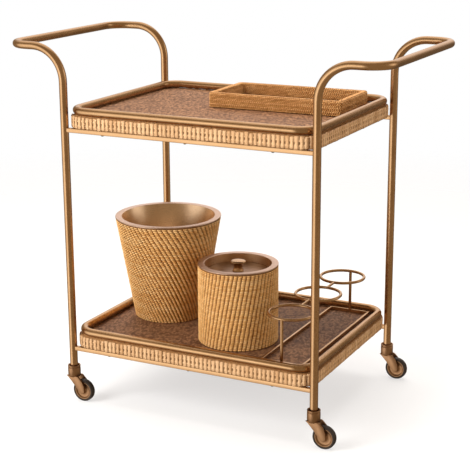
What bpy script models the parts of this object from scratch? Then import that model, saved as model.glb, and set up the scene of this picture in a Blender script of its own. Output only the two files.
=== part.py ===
# Two-tier bar cart: bent tube frame, rattan shelves with guard rings, swivel casters, and its bar pieces
# (serving tray, wine cooler, lidded ice bucket and bottle rack).
# Frame: +X along the cart, +Y to its back, +Z up, metres. The origin is on the floor, under the middle
# of the four posts.
import math

import bmesh
import bpy
from mathutils import Matrix, Vector

GAP = 0.0003                    # clearance between touching pieces

# frame tubes: each side is one tube, front post - handle - back post
POST_X = 0.310
POST_Y = 0.230
TUBE_R = 0.0095
TUBE_WALL = 0.0015
POST_FOOT_Z = 0.0825            # lower end of a post, inside its caster's cup
GRIP_X = 0.4565                 # centre line of the grip bar
GRIP_Z = 0.8405
ARM_BEND_R = 0.078              # post to handle arm
GRIP_BEND_R = 0.050             # handle arm to grip bar

# shelves
SHELF_TOP = {"upper": 0.688, "lower": 0.164}
RAIL_SIZE = 0.010
APRON_HALF = (0.308, 0.239)
APRON_CORNER_R = 0.047
APRON_HEIGHT = 0.0287
APRON_WALL = 0.012              # beside the panel
APRON_FOOT_WALL = 0.022         # under the panel's edge
APRON_EDGE = 0.003
PANEL_THICKNESS = 0.012
MAT_INSET = 0.0225              # mat from the apron's edge; its border under the guard ring is lower
MAT_DROP = 0.001
GUARD_HALF = (0.297, 0.2274)    # centre line of the guard ring
GUARD_CORNER_R = 0.042

# rail screws
SCREW_X = (-0.210, 0.0, 0.210)
SCREW_SHANK_R = 0.0018
SCREW_HEAD_R = 0.0035
SCREW_HEAD_HEIGHT = 0.002
SCREW_BITE = 0.010              # depth in the apron

# casters
AXLE_TRAIL = 0.026
WHEEL_R = 0.0268
COLLAR_R = 0.015
COLLAR_Z = (0.058, 0.087)
CUP_R = 0.0118
CUP_FLOOR_Z = 0.0805
STEM_R = 0.0045
STEM_FOOT_Z = 0.0625
PLUG_R = 0.0074
PLUG_Z = (0.0835, 0.118)
FORK_HALF_WIDTH = 0.0124
SLOT_HALF_WIDTH = 0.0082
SLOT_R = 0.0295
FORK_END_R = 0.0072
FORK_BACK_EDGE = ((-0.0145, 0.0620), (-0.0105, 0.0590), (0.0020, 0.0455))     # (x, z) in side view
FORK_FRONT_EDGE = ((0.0325, 0.0385), (0.0265, 0.0510), (0.0170, 0.0605), (0.0140, 0.0620))
FORK_END_ARC = (215.0, 155.0, 8)   # round the axle: start and sweep in degrees, segments
AXLE_R = 0.0025
AXLE_HALF_LENGTH = 0.0112
HUB_R = 0.0209
HUB_BOSS_HALF = 0.0078
HUB_FACE = ((0.0058, 0.0078), (0.0075, 0.0042), (0.0170, 0.0036), (0.0190, 0.0062))   # (radius, half width)
RIM_HALF_WIDTH = 0.0062
TYRE_HALF_WIDTH = 0.0068
TREAD_HALF_WIDTH = 0.0045
TYRE_SHOULDER = 0.0018

# bottle rack
RACK_X = 0.219
RACK_Y = 0.00235
RING_R = 0.0535                 # centre line
RING_PITCH = 0.1493
RING_Z = 0.2701
ROD_R = 0.0035
LINK_R = 0.0030
RACK_BASE_HALF_X = 0.0495
RACK_BAR = (0.005, 0.008)       # flat bar on edge: width, height

# wine cooler: tapered body with a flat-rimmed liner
COOLER_AT = (-0.181, 0.009)
COOLER_FOOT_R = 0.0843
COOLER_RIM_R = 0.1291
COOLER_MOUTH_R = 0.1136
COOLER_HEIGHT = 0.250

# ice bucket: straight body, liner with a ledge, sunk lid with a knob
BUCKET_AT = (0.055, -0.085)
BUCKET_R = 0.0939
BUCKET_MOUTH_R = 0.0784
BUCKET_HEIGHT = 0.184
LID_SINK = 0.020
LID_THICKNESS = 0.004
LID_HOLE_R = 0.0023
LID_CLEARANCE = 0.0004
LEDGE_WIDTH = 0.004             # the step in the liner that carries the lid
KNOB_STEM = (                   # (radius, z) up the waisted stem to the cap's edge
    (0.0130, 0.0), (0.0130, 0.0015), (0.0108, 0.0050), (0.0098, 0.0100), (0.0112, 0.0155), (0.0160, 0.0190),
)
KNOB_CAP = ((0.0180, 0.0210), (0.0176, 0.0232), (0.0135, 0.0249), (0.0054, 0.0255))
KNOB_HOLE_DEPTH = 0.010
KNOB_SCREW_HEAD = (0.0045, 0.0026, 0.0009)   # radius, height, bevel

# serving tray
TRAY_AT = (0.100, 0.091)
TRAY_TURN = math.radians(1.0)
TRAY_HALF = (0.166, 0.0885)
TRAY_HEIGHT = 0.0345
TRAY_WALL = 0.014
TRAY_CORNER_R = 0.012
TRAY_LEDGE = (0.006, 0.003)     # width, height

TRAY_PANEL_THICKNESS = 0.005
TRAY_PANEL_CORNER_R = 0.0015

RIM_BAND = 0.005                # height of the vessels' rims
RIM_BEVEL = 0.0006
VESSEL_WALL = 0.005
VESSEL_FLOOR = 0.008
LINER_LIFT = 0.002              # liner above the vessel's floor
LINER_WALL = 0.0012

TUBE_SIDES = 12
BEND_STEPS = 4                  # segments of a quarter bend
ROUND_STEPS = 32                # facets of the large turned pieces
SMALL_STEPS = 16
PIN_STEPS = 8
RING_STEPS = 24                 # round a rack ring
ROD_SIDES = 6


def clear_scene():
    for item in list(bpy.data.objects):
        bpy.data.objects.remove(item, do_unlink=True)


def finish(name, colour, roughness, metallic):
    material = bpy.data.materials.new(name)
    material.use_nodes = True
    shader = material.node_tree.nodes["Principled BSDF"]
    shader.inputs["Base Color"].default_value = (*colour, 1.0)
    shader.inputs["Roughness"].default_value = roughness
    shader.inputs["Metallic"].default_value = metallic
    return material


def skin(loops, wrap=False):
    """One closed body over a row of equal loops; wrap joins the last loop to the first."""
    bm = bmesh.new()
    rows = [[bm.verts.new(point) for point in loop] for loop in loops]
    count = len(rows[0])
    pairs = list(zip(rows, rows[1:]))
    if wrap:
        pairs.append((rows[-1], rows[0]))
    for low, high in pairs:
        for i in range(count):
            j = (i + 1) % count
            bm.faces.new((low[i], low[j], high[j], high[i]))
    if not wrap:
        bm.faces.new(rows[0])
        bm.faces.new(rows[-1])
    return to_mesh(bm)


def to_mesh(bm):
    bmesh.ops.recalc_face_normals(bm, faces=bm.faces)
    mesh = bpy.data.meshes.new("solid")
    bm.to_mesh(mesh)
    bm.free()
    mesh.shade_smooth()
    mesh.set_sharp_from_angle(angle=math.radians(35.0))
    return mesh


def join(meshes):
    """Several separate bodies in one mesh, used as one cutter."""
    bm = bmesh.new()
    for mesh in meshes:
        bm.from_mesh(mesh)
    joined = bpy.data.meshes.new("cutter")
    bm.to_mesh(joined)
    bm.free()
    return joined


def boolean(base, steps):
    """The base mesh after each (operation, mesh) step."""
    result = bpy.data.objects.new("work", base)
    bpy.context.collection.objects.link(result)
    helpers = []
    for operation, mesh in steps:
        helper = bpy.data.objects.new("helper", mesh)
        bpy.context.collection.objects.link(helper)
        helpers.append(helper)
        modifier = result.modifiers.new(operation, "BOOLEAN")
        modifier.operation = operation
        modifier.solver = "EXACT"
        modifier.object = helper
    depsgraph = bpy.context.evaluated_depsgraph_get()
    mesh = bpy.data.meshes.new_from_object(result.evaluated_get(depsgraph))
    for item in [result, *helpers]:
        bpy.data.objects.remove(item, do_unlink=True)
    mesh.shade_smooth()
    mesh.set_sharp_from_angle(angle=math.radians(35.0))
    return mesh


def circle(radius, z, steps, centre=(0.0, 0.0)):
    """A level circle whose facets, not corners, face the axes."""
    angles = [2.0 * math.pi * (i + 0.5) / steps for i in range(steps)]
    return [(centre[0] + radius * math.cos(a), centre[1] + radius * math.sin(a), z) for a in angles]


def turned(profile, steps, wrap=False):
    return skin([circle(radius, z, steps) for radius, z in profile], wrap)


def rod(radius, z_low, z_high, centre=(0.0, 0.0), steps=PIN_STEPS):
    return skin([circle(radius, z_low, steps, centre), circle(radius, z_high, steps, centre)])


def rounded_outline(half, corner_r, z, steps=BEND_STEPS):
    points = []
    for quarter, (sx, sy) in enumerate(((1, 1), (-1, 1), (-1, -1), (1, -1))):
        centre_x = sx * (half[0] - corner_r)
        centre_y = sy * (half[1] - corner_r)
        for i in range(steps + 1):
            a = (quarter + i / steps) * math.pi / 2.0
            points.append((centre_x + corner_r * math.cos(a), centre_y + corner_r * math.sin(a), z))
    return points


def framed(half, corner_r, profile, wrap=True):
    """A frame or board with a rounded outline; the profile is (inset from the edge, z) points."""
    loops = []
    for inset, z in profile:
        inner = (half[0] - inset, half[1] - inset)
        loops.append(rounded_outline(inner, corner_r - inset, z))
    return skin(loops, wrap)


def quarter_bend(centre, start_arm, end_arm, steps):
    """Path stations (point, heading) on a quarter circle from one arm's end to the other's."""
    stations = []
    for i in range(steps + 1):
        a = i / steps * math.pi / 2.0
        point = centre + start_arm * math.cos(a) + end_arm * math.sin(a)
        heading = (end_arm * math.cos(a) - start_arm * math.sin(a)).normalized()
        stations.append((point, heading))
    return stations


def tube_loops(stations, radius, side):
    """Circles across the path, carried along it without twist."""
    loops = []
    heading = stations[0][1]
    for point, next_heading in stations:
        side = heading.rotation_difference(next_heading) @ side
        heading = next_heading
        up = heading.cross(side)
        loop = []
        for i in range(TUBE_SIDES):
            a = 2.0 * math.pi * (i + 0.5) / TUBE_SIDES
            loop.append(point + (side * math.cos(a) + up * math.sin(a)) * radius)
        loops.append(loop)
    return loops


def hollow_tube(stations, side):
    outer = tube_loops(stations, TUBE_R, side)
    inner = tube_loops(stations, TUBE_R - TUBE_WALL, side)
    return skin(outer + inner[::-1], wrap=True)


def place(name, mesh, material, at=(0.0, 0.0, 0.0), parent=None):
    node = bpy.data.objects.new(name, mesh)
    bpy.context.collection.objects.link(node)
    if not mesh.materials:
        mesh.materials.append(material)
    node.location = at
    node.parent = parent
    return node


def pivot(name, at, turn=0.0, parent=None):
    empty = bpy.data.objects.new(name, None)
    bpy.context.collection.objects.link(empty)
    empty.location = at
    empty.rotation_euler = (0.0, 0.0, turn)
    empty.parent = parent
    return empty


def handle_tube(side_x):
    """One side of the frame: up the front post, out and round the grip, and down the back post."""
    x = Vector((side_x, 0.0, 0.0))
    y = Vector((0.0, 1.0, 0.0))
    z = Vector((0.0, 0.0, 1.0))
    foot = x * POST_X + z * POST_FOOT_Z
    arm_centre = x * (POST_X + ARM_BEND_R) + z * (GRIP_Z - ARM_BEND_R)
    grip_centre = x * (GRIP_X - GRIP_BEND_R) + z * GRIP_Z
    grip_y = POST_Y - GRIP_BEND_R
    stations = [(foot - y * POST_Y, z)]
    stations += quarter_bend(arm_centre - y * POST_Y, x * -ARM_BEND_R, z * ARM_BEND_R, BEND_STEPS + 1)
    stations += quarter_bend(grip_centre - y * grip_y, y * -GRIP_BEND_R, x * GRIP_BEND_R, BEND_STEPS)
    stations += quarter_bend(grip_centre + y * grip_y, x * GRIP_BEND_R, y * GRIP_BEND_R, BEND_STEPS)
    stations += quarter_bend(arm_centre + y * POST_Y, z * ARM_BEND_R, x * -ARM_BEND_R, BEND_STEPS + 1)
    stations.append((foot + y * POST_Y, -z))
    return hollow_tube(stations, y)


def guard_ring(z):
    """A tube bent to a rounded rectangle, its two ends butted at the middle of the back."""
    half_x, half_y = GUARD_HALF
    left = Vector((-1.0, 0.0, 0.0))
    sides = [Vector((0.0, 1.0, 0.0)), left, Vector((0.0, -1.0, 0.0)), -left]
    stations = [(Vector((-GAP / 2.0, half_y, z)), left)]
    for side, next_side in zip(sides, sides[1:] + sides[:1]):
        corner = side + next_side
        centre = Vector((corner.x * (half_x - GUARD_CORNER_R), corner.y * (half_y - GUARD_CORNER_R), z))
        stations += quarter_bend(centre, side * GUARD_CORNER_R, next_side * GUARD_CORNER_R, BEND_STEPS)
    stations.append((Vector((GAP / 2.0, half_y, z)), left))
    return hollow_tube(stations, Vector((0.0, 0.0, 1.0)))


def rail(y, z_top):
    """A square bar between two posts, coped to their tubes, with clearance holes for its screws."""
    half = RAIL_SIZE / 2.0
    corners = [(-half, -half), (half, -half), (half, half), (-half, half)]
    loops = [[(x, y + dy, z_top - half + dz) for dy, dz in corners] for x in (-POST_X, POST_X)]
    post_r = (TUBE_R + GAP) / math.cos(math.pi / TUBE_SIDES)
    low = z_top - 2.0 * RAIL_SIZE
    high = z_top + RAIL_SIZE
    cuts = [rod(post_r, low, high, (x, y), TUBE_SIDES) for x in (-POST_X, POST_X)]
    cuts += [rod(SCREW_SHANK_R + GAP, low, high, (x, y)) for x in SCREW_X]
    return boolean(skin(loops), [("DIFFERENCE", join(cuts))])


def apron(z_top):
    """The wrapped edge frame of a shelf, with a ledge for its panel and pilot holes for the screws."""
    z_low = z_top - APRON_HEIGHT
    ledge_z = z_top - PANEL_THICKNESS - GAP
    edge = APRON_EDGE
    profile = [
        (edge, z_low), (0.0, z_low + edge), (0.0, z_top - edge), (edge, z_top),
        (APRON_WALL, z_top), (APRON_WALL, ledge_z), (APRON_FOOT_WALL, ledge_z), (APRON_FOOT_WALL, z_low),
    ]
    body = framed(APRON_HALF, APRON_CORNER_R, profile)
    low = z_low - RAIL_SIZE
    high = z_low + SCREW_BITE
    holes = [rod(SCREW_SHANK_R + GAP, low, high, (x, y)) for x in SCREW_X for y in (-POST_Y, POST_Y)]
    return boolean(body, [("DIFFERENCE", join(holes))])


def shelf_panel(z_top):
    """The board of a shelf: the mat's field, and a lower border that the guard ring covers."""
    inset = APRON_WALL + GAP
    border_z = z_top - MAT_DROP
    profile = [(inset, z_top - PANEL_THICKNESS), (inset, border_z), (MAT_INSET, border_z), (MAT_INSET, z_top)]
    return framed(APRON_HALF, APRON_CORNER_R, profile, wrap=False)


def rail_screw():
    """A pan-head screw, head down, with its head's top face at z = 0."""
    head = SCREW_HEAD_HEIGHT
    reach = RAIL_SIZE + SCREW_BITE - GAP
    profile = [
        (SCREW_HEAD_R * 0.7, -head), (SCREW_HEAD_R, -head * 0.5), (SCREW_HEAD_R, 0.0),
        (SCREW_SHANK_R, 0.0), (SCREW_SHANK_R, reach),
    ]
    return turned(profile, PIN_STEPS)


def shelf(level, brass, rattan, mat, steel):
    z_top = SHELF_TOP[level]
    rail_top = z_top - APRON_HEIGHT - GAP
    place("guard_ring_" + level, guard_ring(z_top + GAP + TUBE_R), brass)
    place("apron_" + level, apron(z_top), rattan)
    place("shelf_panel_" + level, shelf_panel(z_top), mat)
    screw = rail_screw()
    for side, y in (("front", -POST_Y), ("back", POST_Y)):
        place(f"rail_{level}_{side}", rail(y, rail_top), brass)
        for number, x in enumerate(SCREW_X, start=1):
            place(f"rail_screw_{level}_{side}_{number}", screw, steel, (x, y, rail_top - RAIL_SIZE - GAP))


def caster_stem():
    """The swivel pin, with the plug that is pressed into the post's end."""
    profile = [
        (STEM_R, STEM_FOOT_Z), (STEM_R, PLUG_Z[0]),
        (PLUG_R, PLUG_Z[0]), (PLUG_R, PLUG_Z[1] - 0.001), (PLUG_R - 0.001, PLUG_Z[1]),
    ]
    return turned(profile, TUBE_SIDES)


def across(mesh, x, z):
    """Turns a body modelled about the Z axis so that its axis lies along Y, and moves it."""
    mesh.transform(Matrix.Translation((x, 0.0, z)) @ Matrix.Rotation(math.pi / 2.0, 4, "X"))
    return mesh


def fork_outline():
    """Side view of the fork's slanted arms, (x, z), from the collar round the axle end and back."""
    start, sweep, steps = FORK_END_ARC
    end = []
    for i in range(steps + 1):
        a = math.radians(start + sweep * i / steps)
        end.append((AXLE_TRAIL + FORK_END_R * math.cos(a), WHEEL_R + FORK_END_R * math.sin(a)))
    return [*FORK_BACK_EDGE, *end, *FORK_FRONT_EDGE]


def caster_fork():
    """The swivelling collar and its two arms: a cast piece slotted for the wheel and bored for the axle."""
    outline = fork_outline()
    arms = skin([[(x, y, z) for x, z in outline] for y in (-FORK_HALF_WIDTH, FORK_HALF_WIDTH)])
    slot = across(rod(SLOT_R, -SLOT_HALF_WIDTH, SLOT_HALF_WIDTH, steps=ROUND_STEPS), AXLE_TRAIL, WHEEL_R)
    low, high = COLLAR_Z
    collar = turned([
        (COLLAR_R - 0.0012, low), (COLLAR_R, low + 0.0012),
        (COLLAR_R, high - 0.0008), (COLLAR_R - 0.0008, high),
    ], SMALL_STEPS)
    cup = rod(CUP_R, CUP_FLOOR_Z, high + 0.005, steps=SMALL_STEPS)
    bore = rod(STEM_R + GAP, STEM_FOOT_Z - GAP, high, steps=TUBE_SIDES)
    axle_hole = across(rod(AXLE_R + GAP, -COLLAR_R, COLLAR_R), AXLE_TRAIL, WHEEL_R)
    steps = [
        ("DIFFERENCE", slot), ("UNION", collar), ("DIFFERENCE", cup),
        ("DIFFERENCE", bore), ("DIFFERENCE", axle_hole),
    ]
    return boolean(arms, steps)


def caster_axle():
    return across(rod(AXLE_R, -AXLE_HALF_LENGTH, AXLE_HALF_LENGTH), 0.0, 0.0)


def wheel_hub():
    """A dished wheel centre: boss, thin web and rim, the same on both faces."""
    half = [(AXLE_R + GAP, HUB_BOSS_HALF), *HUB_FACE, (HUB_R, RIM_HALF_WIDTH)]
    profile = half + [(radius, -z) for radius, z in reversed(half)]
    return across(turned(profile, SMALL_STEPS, wrap=True), 0.0, 0.0)


def wheel_tyre():
    """A thin solid tyre; its tread facets lie at the wheel's radius, so it stands on a flat."""
    tread = WHEEL_R / math.cos(math.pi / ROUND_STEPS)
    bead = (HUB_R + GAP) / math.cos(math.pi / SMALL_STEPS)
    half = [(bead, RIM_HALF_WIDTH), (tread - TYRE_SHOULDER, TYRE_HALF_WIDTH), (tread, TREAD_HALF_WIDTH)]
    profile = half + [(radius, -z) for radius, z in reversed(half)]
    return across(turned(profile, ROUND_STEPS, wrap=True), 0.0, 0.0)


def casters(brass, steel, rubber):
    stem = caster_stem()
    fork = caster_fork()
    axle = caster_axle()
    hub = wheel_hub()
    tyre = wheel_tyre()
    for corner in [(y_side, x_side) for y_side in ("front", "back") for x_side in ("left", "right")]:
        y = POST_Y if corner[0] == "back" else -POST_Y
        x = POST_X if corner[1] == "right" else -POST_X
        corner = "_".join(corner)
        under_post = (x, y, 0.0)
        place("caster_stem_" + corner, stem, steel, under_post)
        swivel = place("caster_fork_" + corner, fork, brass, under_post)
        at_axle = (AXLE_TRAIL, 0.0, WHEEL_R)
        place("caster_axle_" + corner, axle, steel, at_axle, swivel)
        place("wheel_hub_" + corner, hub, brass, at_axle, swivel)
        place("wheel_tyre_" + corner, tyre, rubber, at_axle, swivel)


def rack_ring(y, link_to=()):
    """A rod ring; link_to gives the sides (-1 front, +1 back) with a short link towards the next ring."""
    loops = []
    for i in range(RING_STEPS):
        a = 2.0 * math.pi * (i + 0.5) / RING_STEPS
        out = Vector((math.cos(a), math.sin(a), 0.0))
        middle = Vector((RACK_X, y, RING_Z)) + out * RING_R
        loop = []
        for j in range(ROD_SIDES):
            b = 2.0 * math.pi * (j + 0.5) / ROD_SIDES
            loop.append(middle + ROD_R * (out * math.cos(b) + Vector((0.0, 0.0, math.sin(b)))))
        loops.append(loop)
    ring = skin(loops, wrap=True)
    links = []
    for side in link_to:
        near = y + side * RING_R
        far = y + side * (RING_PITCH - RING_R - ROD_R - GAP)
        angles = [2.0 * math.pi * i / ROD_SIDES for i in range(ROD_SIDES)]
        section = [(RACK_X + LINK_R * math.cos(a), RING_Z + LINK_R * math.sin(a)) for a in angles]
        links.append(skin([[(x, at, z) for x, z in section] for at in (near, far)]))
    if links:
        ring = boolean(ring, [("UNION", join(links))])
    return ring


def rack_base(z_low, half_y):
    width, height = RACK_BAR
    loops = []
    for side, z in ((0.5, z_low), (0.5, z_low + height), (-0.5, z_low + height), (-0.5, z_low)):
        low_x, high_x = RACK_X - RACK_BASE_HALF_X - side * width, RACK_X + RACK_BASE_HALF_X + side * width
        low_y, high_y = RACK_Y - half_y - side * width, RACK_Y + half_y + side * width
        loops.append([(low_x, low_y, z), (high_x, low_y, z), (high_x, high_y, z), (low_x, high_y, z)])
    return skin(loops, wrap=True)


def bottle_rack(brass):
    z_low = SHELF_TOP["lower"] + GAP
    post_z = (z_low + RACK_BAR[1] + GAP, RING_Z - ROD_R - GAP)
    half_y = RING_PITCH + RING_R
    place("rack_base", rack_base(z_low, half_y), brass)
    for side, sign in (("front", -1), ("back", 1)):
        place("rack_post_" + side, rod(ROD_R, *post_z, (RACK_X, RACK_Y + sign * half_y)), brass)
        place("rack_ring_" + side, rack_ring(RACK_Y + sign * RING_PITCH), brass)
    place("rack_ring_middle", rack_ring(RACK_Y, link_to=(-1, 1)), brass)


def wine_cooler(brass, rattan):
    at = pivot("wine_cooler", (*COOLER_AT, SHELF_TOP["lower"] + GAP))
    slope = (COOLER_RIM_R - COOLER_FOOT_R) / COOLER_HEIGHT
    top = COOLER_HEIGHT - RIM_BAND - GAP
    shell = [
        (COOLER_FOOT_R, 0.0), (COOLER_FOOT_R + slope * top, top),
        (COOLER_FOOT_R + slope * top - VESSEL_WALL, top),
        (COOLER_FOOT_R + slope * VESSEL_FLOOR - VESSEL_WALL, VESSEL_FLOOR),
    ]
    floor_z = VESSEL_FLOOR + LINER_LIFT
    mouth = COOLER_MOUTH_R
    floor_r = mouth - slope * (COOLER_HEIGHT - floor_z)
    rim_low = COOLER_HEIGHT - RIM_BAND
    bevel = RIM_BEVEL
    liner = [
        (floor_r, floor_z), (mouth + LINER_WALL, rim_low),
        (COOLER_RIM_R - bevel, rim_low), (COOLER_RIM_R, rim_low + bevel),
        (COOLER_RIM_R, COOLER_HEIGHT - bevel), (COOLER_RIM_R - bevel, COOLER_HEIGHT),
        (mouth + bevel, COOLER_HEIGHT), (mouth, COOLER_HEIGHT - bevel),
        (floor_r - LINER_WALL, floor_z + LINER_WALL),
    ]
    place("wine_cooler_shell", turned(shell, ROUND_STEPS), rattan, parent=at)
    place("wine_cooler_liner", turned(liner, ROUND_STEPS), brass, parent=at)


def ice_bucket(brass, rattan, steel):
    at = pivot("ice_bucket", (*BUCKET_AT, SHELF_TOP["lower"] + GAP))
    rim_low = BUCKET_HEIGHT - RIM_BAND
    top = rim_low - GAP
    shell = [
        (BUCKET_R, 0.0), (BUCKET_R, top),
        (BUCKET_R - VESSEL_WALL, top), (BUCKET_R - VESSEL_WALL, VESSEL_FLOOR),
    ]
    mouth = BUCKET_MOUTH_R
    well = mouth - LEDGE_WIDTH
    floor_z = VESSEL_FLOOR + LINER_LIFT
    lid_low = BUCKET_HEIGHT - LID_SINK - LID_THICKNESS
    ledge_z = lid_low - GAP
    bevel = RIM_BEVEL
    liner = [
        (well + LINER_WALL, floor_z), (well + LINER_WALL, ledge_z - LINER_WALL),
        (mouth + LINER_WALL, ledge_z - LINER_WALL), (mouth + LINER_WALL, rim_low),
        (BUCKET_R - bevel, rim_low), (BUCKET_R, rim_low + bevel),
        (BUCKET_R, BUCKET_HEIGHT - bevel), (BUCKET_R - bevel, BUCKET_HEIGHT),
        (mouth + bevel, BUCKET_HEIGHT), (mouth, BUCKET_HEIGHT - bevel),
        (mouth, ledge_z), (well, ledge_z), (well, floor_z + LINER_WALL),
    ]
    place("ice_bucket_shell", turned(shell, ROUND_STEPS), rattan, parent=at)
    place("ice_bucket_liner", turned(liner, ROUND_STEPS), brass, parent=at)
    lid_at = pivot("lid", (0.0, 0.0, lid_low), parent=at)
    lid_r = mouth - LID_CLEARANCE
    lid = [
        (LID_HOLE_R, 0.0), (lid_r, 0.0), (lid_r, LID_THICKNESS - bevel),
        (lid_r - bevel, LID_THICKNESS), (LID_HOLE_R, LID_THICKNESS),
    ]
    place("ice_bucket_lid", turned(lid, ROUND_STEPS, wrap=True), brass, parent=lid_at)
    knob_at = (0.0, 0.0, LID_THICKNESS + GAP)
    place("lid_knob", lid_knob(), brass, knob_at, lid_at)
    place("lid_knob_screw", lid_knob_screw(), steel, parent=lid_at)


def lid_knob():
    """A waisted knob with a broad cap and a tapped hole in its foot."""
    hole_r = SCREW_SHANK_R + GAP
    return turned([(hole_r, KNOB_HOLE_DEPTH), (hole_r, 0.0), *KNOB_STEM, *KNOB_CAP], SMALL_STEPS)


def lid_knob_screw():
    """Its head bears under the lid and its shank runs up into the knob."""
    radius, height, bevel = KNOB_SCREW_HEAD
    head_top = -GAP
    reach = LID_THICKNESS + KNOB_HOLE_DEPTH - GAP
    profile = [
        (radius - bevel, head_top - height), (radius, head_top - height + bevel), (radius, head_top),
        (SCREW_SHANK_R, head_top), (SCREW_SHANK_R, reach),
    ]
    return turned(profile, PIN_STEPS)


def serving_tray(rattan, mat):
    at = pivot("serving_tray", (*TRAY_AT, SHELF_TOP["upper"] + GAP), TRAY_TURN)
    ledge_width, ledge_height = TRAY_LEDGE
    inner = TRAY_WALL + ledge_width
    edge = 0.002
    profile = [
        (edge, 0.0), (0.0, edge), (0.0, TRAY_HEIGHT - edge), (edge, TRAY_HEIGHT),
        (TRAY_WALL - edge, TRAY_HEIGHT), (TRAY_WALL, TRAY_HEIGHT - edge),
        (TRAY_WALL, ledge_height), (inner, ledge_height), (inner, 0.0),
    ]
    loops = []
    for inset, z in profile:
        half = (TRAY_HALF[0] - inset, TRAY_HALF[1] - inset)
        loops.append(rounded_outline(half, max(TRAY_CORNER_R - inset, 0.001), z))
    place("serving_tray_frame", skin(loops, wrap=True), rattan, parent=at)
    inset = TRAY_WALL + GAP
    half = (TRAY_HALF[0] - inset, TRAY_HALF[1] - inset)
    low = ledge_height + GAP
    high = low + TRAY_PANEL_THICKNESS
    panel = skin([rounded_outline(half, TRAY_PANEL_CORNER_R, z) for z in (low, high)])
    place("serving_tray_panel", panel, mat, parent=at)


clear_scene()
antique_brass = finish("antique_brass", (0.47, 0.29, 0.13), 0.34, 1.0)
rim_brass = finish("rim_brass", (0.60, 0.42, 0.30), 0.30, 1.0)
rattan_wrap = finish("rattan_wrap", (0.56, 0.33, 0.13), 0.70, 0.0)
woven_mat = finish("woven_mat", (0.28, 0.15, 0.08), 0.75, 0.0)
dark_steel = finish("dark_steel", (0.06, 0.05, 0.04), 0.45, 1.0)
tyre_rubber = finish("tyre_rubber", (0.03, 0.022, 0.018), 0.60, 0.0)

place("handle_tube_left", handle_tube(-1.0), antique_brass)
place("handle_tube_right", handle_tube(1.0), antique_brass)
for shelf_level in SHELF_TOP:
    shelf(shelf_level, antique_brass, rattan_wrap, woven_mat, dark_steel)
casters(antique_brass, dark_steel, tyre_rubber)
bottle_rack(antique_brass)
wine_cooler(rim_brass, rattan_wrap)
ice_bucket(rim_brass, rattan_wrap, dark_steel)
serving_tray(rattan_wrap, woven_mat)
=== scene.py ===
import math

import bmesh
import bpy
from mathutils import Matrix, Vector


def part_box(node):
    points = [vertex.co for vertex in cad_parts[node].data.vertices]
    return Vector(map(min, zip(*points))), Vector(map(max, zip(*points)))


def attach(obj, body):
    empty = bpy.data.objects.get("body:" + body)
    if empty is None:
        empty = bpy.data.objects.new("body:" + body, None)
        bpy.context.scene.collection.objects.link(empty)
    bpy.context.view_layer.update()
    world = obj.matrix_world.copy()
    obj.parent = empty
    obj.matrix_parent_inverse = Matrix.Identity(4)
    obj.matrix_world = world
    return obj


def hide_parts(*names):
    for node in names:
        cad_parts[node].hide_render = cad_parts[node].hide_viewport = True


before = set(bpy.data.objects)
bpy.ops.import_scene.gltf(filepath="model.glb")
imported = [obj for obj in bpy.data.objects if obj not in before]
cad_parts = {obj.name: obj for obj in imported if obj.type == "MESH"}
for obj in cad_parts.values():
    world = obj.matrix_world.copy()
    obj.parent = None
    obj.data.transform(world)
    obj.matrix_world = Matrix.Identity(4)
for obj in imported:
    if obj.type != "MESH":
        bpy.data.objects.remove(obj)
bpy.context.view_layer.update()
print("frame loaded:", len(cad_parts), "nodes")

up = Vector((0.0, 0.0, 1.0))
corners = [f"{side}_{end}" for side in ("front", "back") for end in ("left", "right")]


def spoke(angle, radius, height=0.0):
    return Vector((radius * math.cos(angle), radius * math.sin(angle), height))


def turned(point, angle):
    c, s = math.cos(angle), math.sin(angle)
    return Vector((point.x * c - point.y * s, point.x * s + point.y * c, point.z))


def footOf(node):
    # the middle of a node's underside
    low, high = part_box(node)
    return Vector(((low.x + high.x) / 2.0, (low.y + high.y) / 2.0, low.z))


def buildMesh(name, rows, wrap=False, grain=None):
    # rows of equal closed loops of points become one closed skin, with a grain map in metres
    bm = bmesh.new()
    rings = [[bm.verts.new(point) for point in row] for row in rows]
    count = len(rings[0])
    layer = bm.loops.layers.uv.new("grain")
    pairs = list(zip(range(len(rings)), range(1, len(rings))))
    if wrap:
        pairs.append((len(rings) - 1, 0))
    reach = 0.0
    for low, high in pairs:
        step = (rings[low][0].co - rings[high][0].co).length
        around = 0.0
        for i in range(count):
            j = (i + 1) % count
            width = (rings[low][i].co - rings[low][j].co).length
            face = bm.faces.new((rings[low][i], rings[low][j], rings[high][j], rings[high][i]))
            far, wide = reach + step, around + width
            spots = ((reach, around), (reach, wide), (far, wide), (far, around))
            for loop, spot in zip(face.loops, spots):
                loop[layer].uv = spot if grain != "round" else (spot[1], spot[0])
            around += width
        reach += step
    if not wrap:
        bm.faces.new(rings[0])
        bm.faces.new(rings[-1])
    bmesh.ops.recalc_face_normals(bm, faces=bm.faces)
    mesh = bpy.data.meshes.new(name)
    bm.to_mesh(mesh)
    bm.free()
    mesh.shade_smooth()
    mesh.set_sharp_from_angle(angle=math.radians(42.0))
    return mesh


def joinMeshes(name, meshes):
    bm = bmesh.new()
    for mesh in meshes:
        bm.from_mesh(mesh)
    joined = bpy.data.meshes.new(name)
    bm.to_mesh(joined)
    bm.free()
    joined.shade_smooth()
    joined.set_sharp_from_angle(angle=math.radians(42.0))
    return joined


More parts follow.
